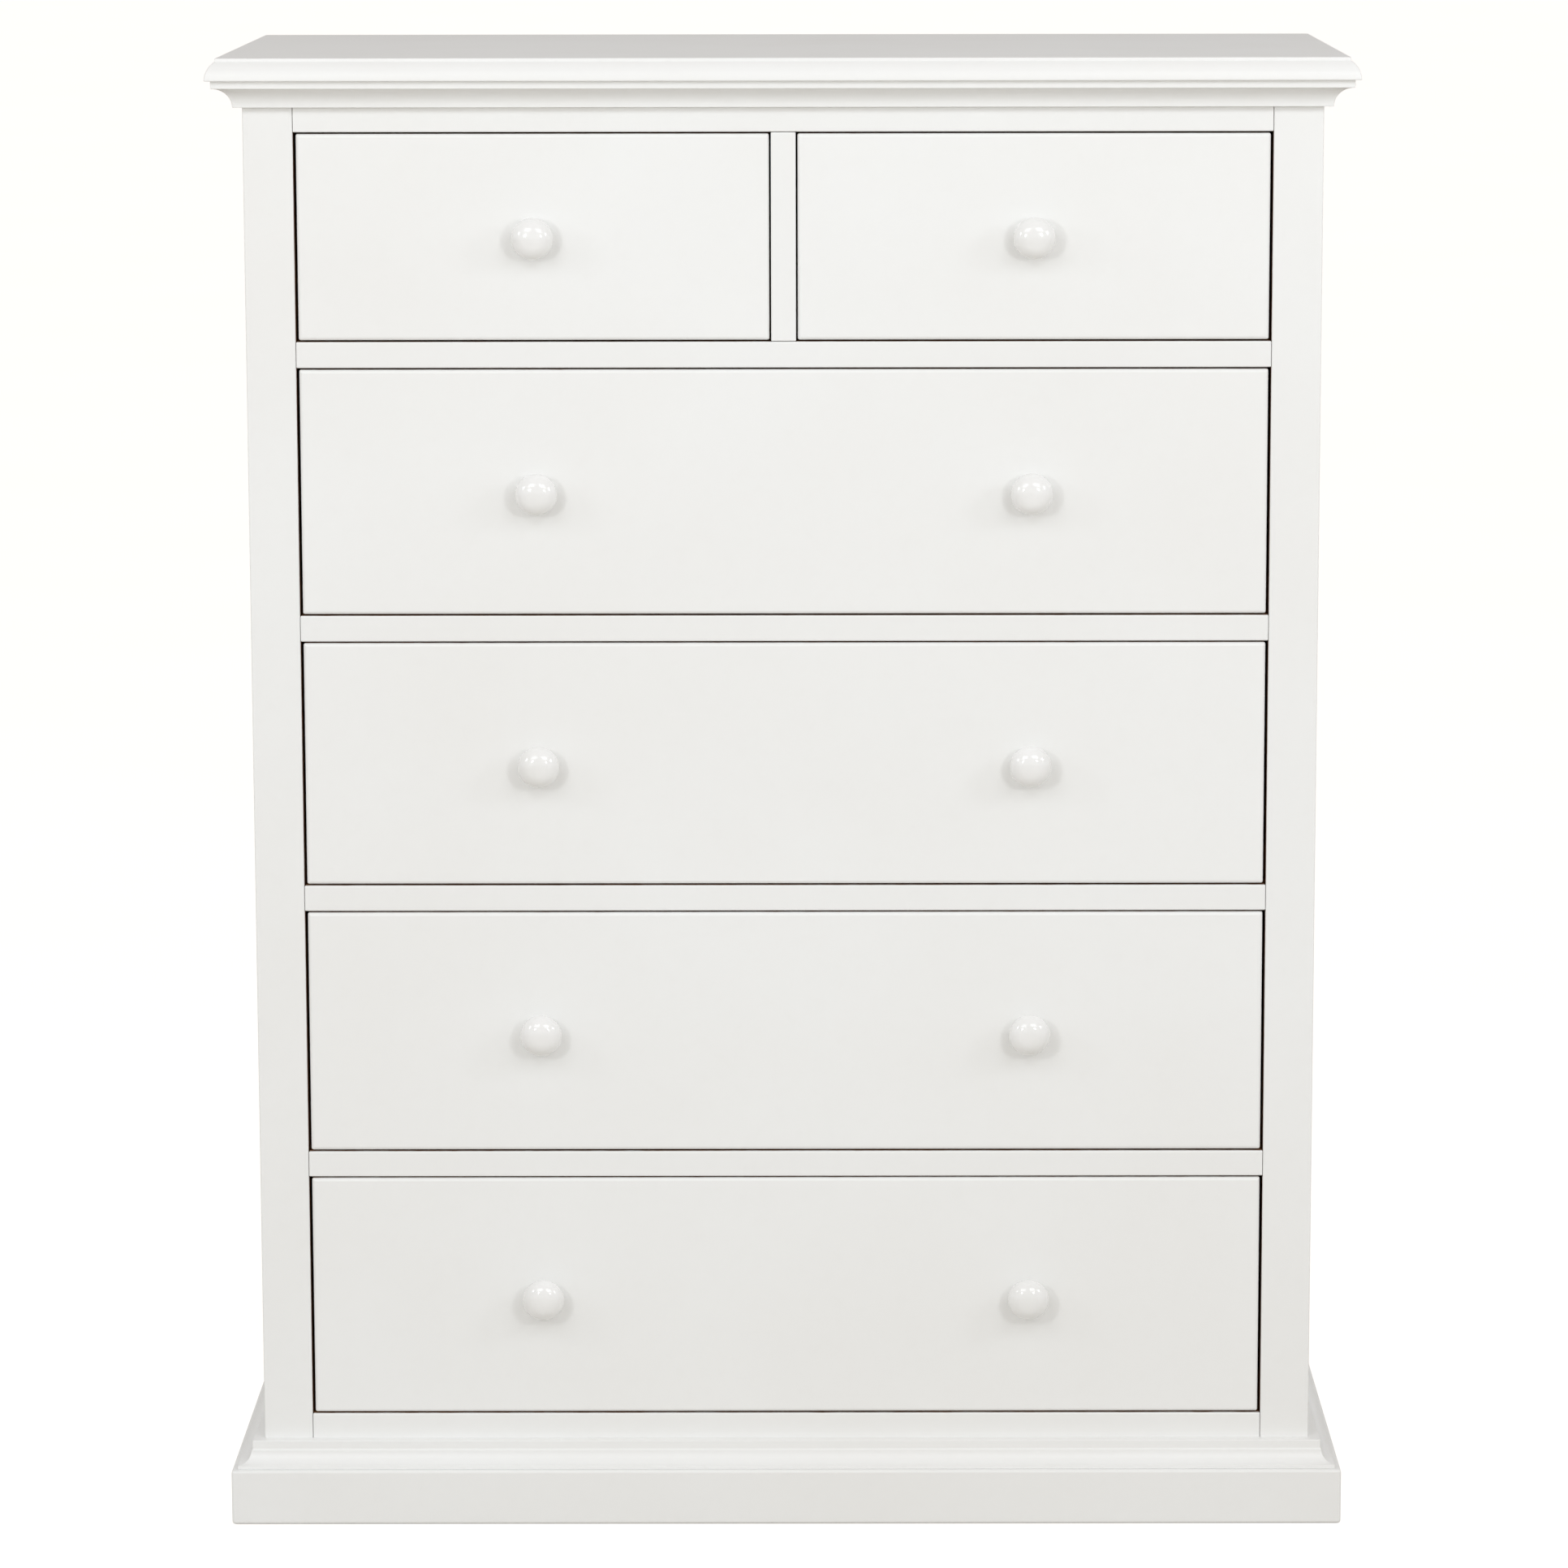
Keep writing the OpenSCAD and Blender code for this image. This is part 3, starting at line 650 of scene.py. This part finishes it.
def drawer_front(k):
    node = f"drawer_{k}_front"
    lo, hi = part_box(node)
    slo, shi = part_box(f"drawer_{k}_sides")
    bm = bmesh.new()
    add_box(bm, lo, hi)
    ob = new_obj(f"drawer_{k}_front_rounded", bm)

    def radius(a, b):
        if abs(a.y - YF) < 1e-6 and abs(b.y - YF) < 1e-6:
            return R_FRONT
        if abs(a.y - b.y) > 1e-4:
            return 1.6 * MM
        return 0.3 * MM

    bevel_by(ob, radius, R_FRONT, 7)
    # the sockets of the dovetails and the groove for the bottom
    cut = bmesh.new()
    h = shi.z - slo.z
    n = int(h / (38 * MM))
    pitch = h / n
    root = pitch * 0.27
    yd = YF + 20 * MM
    for x0, x1 in ((lo.x - 1 * MM, lo.x + 12 * MM), (hi.x - 12 * MM, hi.x + 1 * MM)):
        for i in range(n):
            zc = slo.z + (i + 0.5) * pitch
            prof = [(yd + 1 * MM, zc - root + 0.15 * MM), (yd - 12 * MM, zc - root - 1.8 * MM),
                    (yd - 12 * MM, zc + root + 1.8 * MM), (yd + 1 * MM, zc + root - 0.15 * MM)]
            a = [cut.verts.new((x0, y, z)) for y, z in prof]
            b = [cut.verts.new((x1, y, z)) for y, z in prof]
            cut.faces.new(a)
            cut.faces.new(list(reversed(b)))
            for p in range(4):
                q = (p + 1) % 4
                cut.faces.new((a[p], b[p], b[q], a[q]))
    pz = slo.z + 12 * MM
    add_box(cut, (lo.x + 6 * MM, yd - 6 * MM, pz), (hi.x - 6 * MM, yd + 1 * MM, pz + 6 * MM))
    cutter = new_obj("cutter", cut)
    m = ob.modifiers.new("cut", "BOOLEAN")
    m.operation = "DIFFERENCE"
    m.solver = "EXACT"
    m.use_self = True
    m.object = cutter
    baked(ob)
    bpy.data.objects.remove(cutter)
    weighted_normals(ob)
    return finish_piece(ob, node, [M_FRONT])


KNOB = [(0, 28.0), (3.0, 27.9), (6.2, 27.5), (9.3, 26.7), (12.0, 25.4), (14.4, 23.6), (16.3, 21.3), (17.4, 18.8),
        (17.7, 16.9), (17.2, 14.9), (15.8, 12.8), (13.6, 11.0), (10.9, 9.7), (8.6, 8.6), (7.3, 7.2), (6.9, 5.6),
        (7.1, 4.0), (7.8, 2.7), (8.7, 1.9), (9.0, 1.2), (8.9, 0.4), (8.5, 0.0)]


def smooth_line(points, per=5):
    """A Catmull-Rom curve through the points."""
    out = []
    p = [points[0]] + list(points) + [points[-1]]
    for i in range(1, len(p) - 2):
        for k in range(per):
            t = k / per
            out.append(tuple(0.5 * ((2 * b) + (c - a) * t + (2 * a - 5 * b + 4 * c - d) * t * t + (3 * b - a - 3 * c + d) * t ** 3)
                             for a, b, c, d in zip(p[i - 1], p[i], p[i + 1], p[i + 2])))
    out.append(tuple(points[-1]))
    return out


def knobs(k):
    node = f"drawer_{k}_knob" + ("" if k < 3 else "s")
    lo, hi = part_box(node)
    flo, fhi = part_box(f"drawer_{k}_front")
    zc = (lo.z + hi.z) / 2
    xs = [(lo.x + hi.x) / 2] if k < 3 else [lo.x + 17.7 * MM, hi.x - 17.7 * MM]
    line = smooth_line(KNOB)
    n = 96
    bm = bmesh.new()
    for x in xs:
        rings = []
        for r, h in line:
            if r < 1e-6:
                rings.append([bm.verts.new((x, YF - h * MM, zc))])
            else:
                rings.append([bm.verts.new((x + r * MM * math.cos(2 * math.pi * i / n), YF - h * MM,
                                            zc + r * MM * math.sin(2 * math.pi * i / n))) for i in range(n)])
        for a, b in zip(rings, rings[1:]):
            for i in range(n):
                j = (i + 1) % n
                if len(a) == 1:
                    bm.faces.new((a[0], b[j], b[i]))
                else:
                    bm.faces.new((a[i], a[j], b[j], b[i]))
        bm.faces.new(rings[-1])
    ob = new_obj(node + "_turned", bm)
    for f in ob.data.polygons:
        f.use_smooth = True
    weighted_normals(ob, 50.0)
    finish_piece(ob, node, [M_KNOB])
    # the lathe's marks run round the knob, so their coordinates are the radius and the height
    gco = []
    for v in ob.data.vertices:
        x = min(xs, key=lambda c: abs(c - v.co.x))
        gco += [math.hypot(v.co.x - x, v.co.z - zc), v.co.y, 0.0]
    ob.data.attributes["gco"].data.foreach_set("vector", gco)
    return ob


for k in range(1, 7):
    drawer_front(k)
    knobs(k)
    refined(f"drawer_{k}_sides", [M_PINE], 0.5 * MM, 2)
    refined(f"drawer_{k}_back", [M_PINE], 0.8 * MM, 2)
    refined(f"drawer_{k}_bottom", [M_PLY], 0.2 * MM, 1)

for name, ob in NODES.items():
    if "screw" in name:
        ob.data.materials.clear()
        ob.data.materials.append(M_STEEL)

# -------------------------------------------------------------- floor and light

floor_me = bpy.data.meshes.new("floor")
fb = bmesh.new()
bmesh.ops.create_circle(fb, cap_ends=True, radius=60.0, segments=96)
fb.to_mesh(floor_me)
fb.free()
floor = bpy.data.objects.new("floor", floor_me)
floor.location = (0, 0, -0.0004)
bpy.context.scene.collection.objects.link(floor)
ft = Tree("floor_white")
fn = ft.noise(ft.obj(), 1.5, 2.0)
ft.put(ft.bsdf.inputs["Base Color"], ft.mix(ft.remap(fn, 0.3, 0.7, 0.0, 1.0), srgb(208, 204, 197), srgb(204, 200, 193)))
ft.bsdf.inputs["Roughness"].default_value = 0.8
ft.bsdf.inputs["Specular IOR Level"].default_value = 0.1
ft.bsdf.inputs["Emission Color"].default_value = (1.0, 0.996, 0.99, 1.0)
ft.bsdf.inputs["Emission Strength"].default_value = 0.70
floor.data.materials.append(ft.mat)
# the floor is made pale by a little light of its own, which falls on nothing but the floor
only_floor = bpy.data.collections.new("lit_by_floor")
only_floor.objects.link(floor)
floor.light_linking.receiver_collection = only_floor

scene = bpy.context.scene
world = bpy.data.worlds.new("studio")
world.use_nodes = True
wt = world.node_tree
back = wt.nodes["Background"]
wz = wt.nodes.new("ShaderNodeSeparateXYZ")
wt.links.new(wt.nodes.new("ShaderNodeTexCoord").outputs["Generated"], wz.inputs[0])
wr = wt.nodes.new("ShaderNodeValToRGB")
wr.color_ramp.elements[0].position = 0.09
wr.color_ramp.elements[0].color = (0.985, 1.0, 1.0, 1.0)
wr.color_ramp.elements[1].position = 0.62
wr.color_ramp.elements[1].color = (0.68, 0.635, 0.605, 1.0)
mid = wr.color_ramp.elements.new(0.24)
mid.color = (0.80, 0.795, 0.785, 1.0)
wt.links.new(wz.outputs[2], wr.inputs[0])
wt.links.new(wr.outputs[0], back.inputs["Color"])
back.inputs["Strength"].default_value = 0.76
# what the camera sees past the floor is plain white; the ramp lights the chest
white = wt.nodes.new("ShaderNodeBackground")
white.inputs["Color"].default_value = (1.0, 0.998, 0.994, 1.0)
white.inputs["Strength"].default_value = 1.0
either = wt.nodes.new("ShaderNodeMixShader")
wt.links.new(wt.nodes.new("ShaderNodeLightPath").outputs["Is Camera Ray"], either.inputs[0])
wt.links.new(back.outputs[0], either.inputs[1])
wt.links.new(white.outputs[0], either.inputs[2])
wt.links.new(either.outputs[0], wt.nodes["World Output"].inputs["Surface"])
scene.world = world


def softbox(name, place, aim, size, power, colour=(1.0, 1.0, 1.0)):
    light = bpy.data.lights.new(name, "AREA")
    light.shape = "RECTANGLE"
    light.size, light.size_y = size
    light.energy = power
    light.color = colour
    ob = bpy.data.objects.new(name, light)
    ob.location = place
    ob.rotation_mode = "QUATERNION"
    ob.rotation_quaternion = (Vector(aim) - Vector(place)).to_track_quat("-Z", "Y")
    ob.visible_camera = False
    scene.collection.objects.link(ob)
    return ob


COOL = (0.96, 1.0, 1.045)
softbox("key_left", (-1.32, -3.03, 1.55), (0, -0.2, 1.1), (0.36, 0.36), 11, (0.985, 1.0, 1.01))
softbox("key_right", (1.32, -3.03, 1.55), (0, -0.2, 1.1), (0.36, 0.36), 11, (0.985, 1.0, 1.01))
softbox("side_left", (-2.55, -1.62, 2.0), (0, -0.2, 0.9), (0.6, 0.6), 5.5, COOL)
softbox("side_right", (2.55, -1.62, 2.0), (0, -0.2, 0.9), (0.6, 0.6), 8.5, COOL)
softbox("bank_left", (-1.2, -2.8, 2.75), (0, -0.2, 1.2), (1.5, 1.1), 14.5, COOL)
softbox("bank_right", (1.2, -2.8, 2.75), (0, -0.2, 1.2), (1.5, 1.1), 15.5, COOL)
# the fills stand behind the plane of the front and below the top, so they reach the sides only
softbox("fill_left", (-3.0, 0.75, 0.62), (-0.46, 0.0, 0.62), (1.3, 0.9), 4.5, COOL)
softbox("fill_right", (3.0, 0.75, 0.62), (0.46, 0.0, 0.62), (1.3, 0.9), 4.5, COOL)

scene.view_settings.view_transform = "Standard"
scene.view_settings.look = "None"
scene.view_settings.exposure = 0.0
scene.view_settings.gamma = 1.0

# ----------------------------------------------------------------------- camera

FOCAL_PX, SHIFT_X_PX, SHIFT_Y_PX = 7298.38, 53.42, -38.64
CAM_POS = (0.04207, -5.202, 1.50138)
YAW, PITCH, ROLL = -0.00111, 0.16364, -0.00136
cam_data = bpy.data.cameras.new("camera")
cam = bpy.data.objects.new("camera", cam_data)
scene.collection.objects.link(cam)
cam_data.sensor_fit = "HORIZONTAL"
cam_data.sensor_width = 36.0
cam_data.lens = FOCAL_PX / 1932.0 * 36.0
cam_data.shift_x = -SHIFT_X_PX / 1932.0
cam_data.shift_y = SHIFT_Y_PX / 1932.0
cam_data.clip_start, cam_data.clip_end = 0.05, 300.0
right = Vector((math.cos(YAW), -math.sin(YAW), 0.0))
ahead = Vector((math.sin(YAW) * math.cos(PITCH), math.cos(YAW) * math.cos(PITCH), -math.sin(PITCH)))
up = right.cross(ahead)
right, up = right * math.cos(ROLL) + up * math.sin(ROLL), up * math.cos(ROLL) - right * math.sin(ROLL)
cam.matrix_world = Matrix((
    (right.x, up.x, -ahead.x, CAM_POS[0]),
    (right.y, up.y, -ahead.y, CAM_POS[1]),
    (right.z, up.z, -ahead.z, CAM_POS[2]),
    (0, 0, 0, 1)))
scene.camera = cam
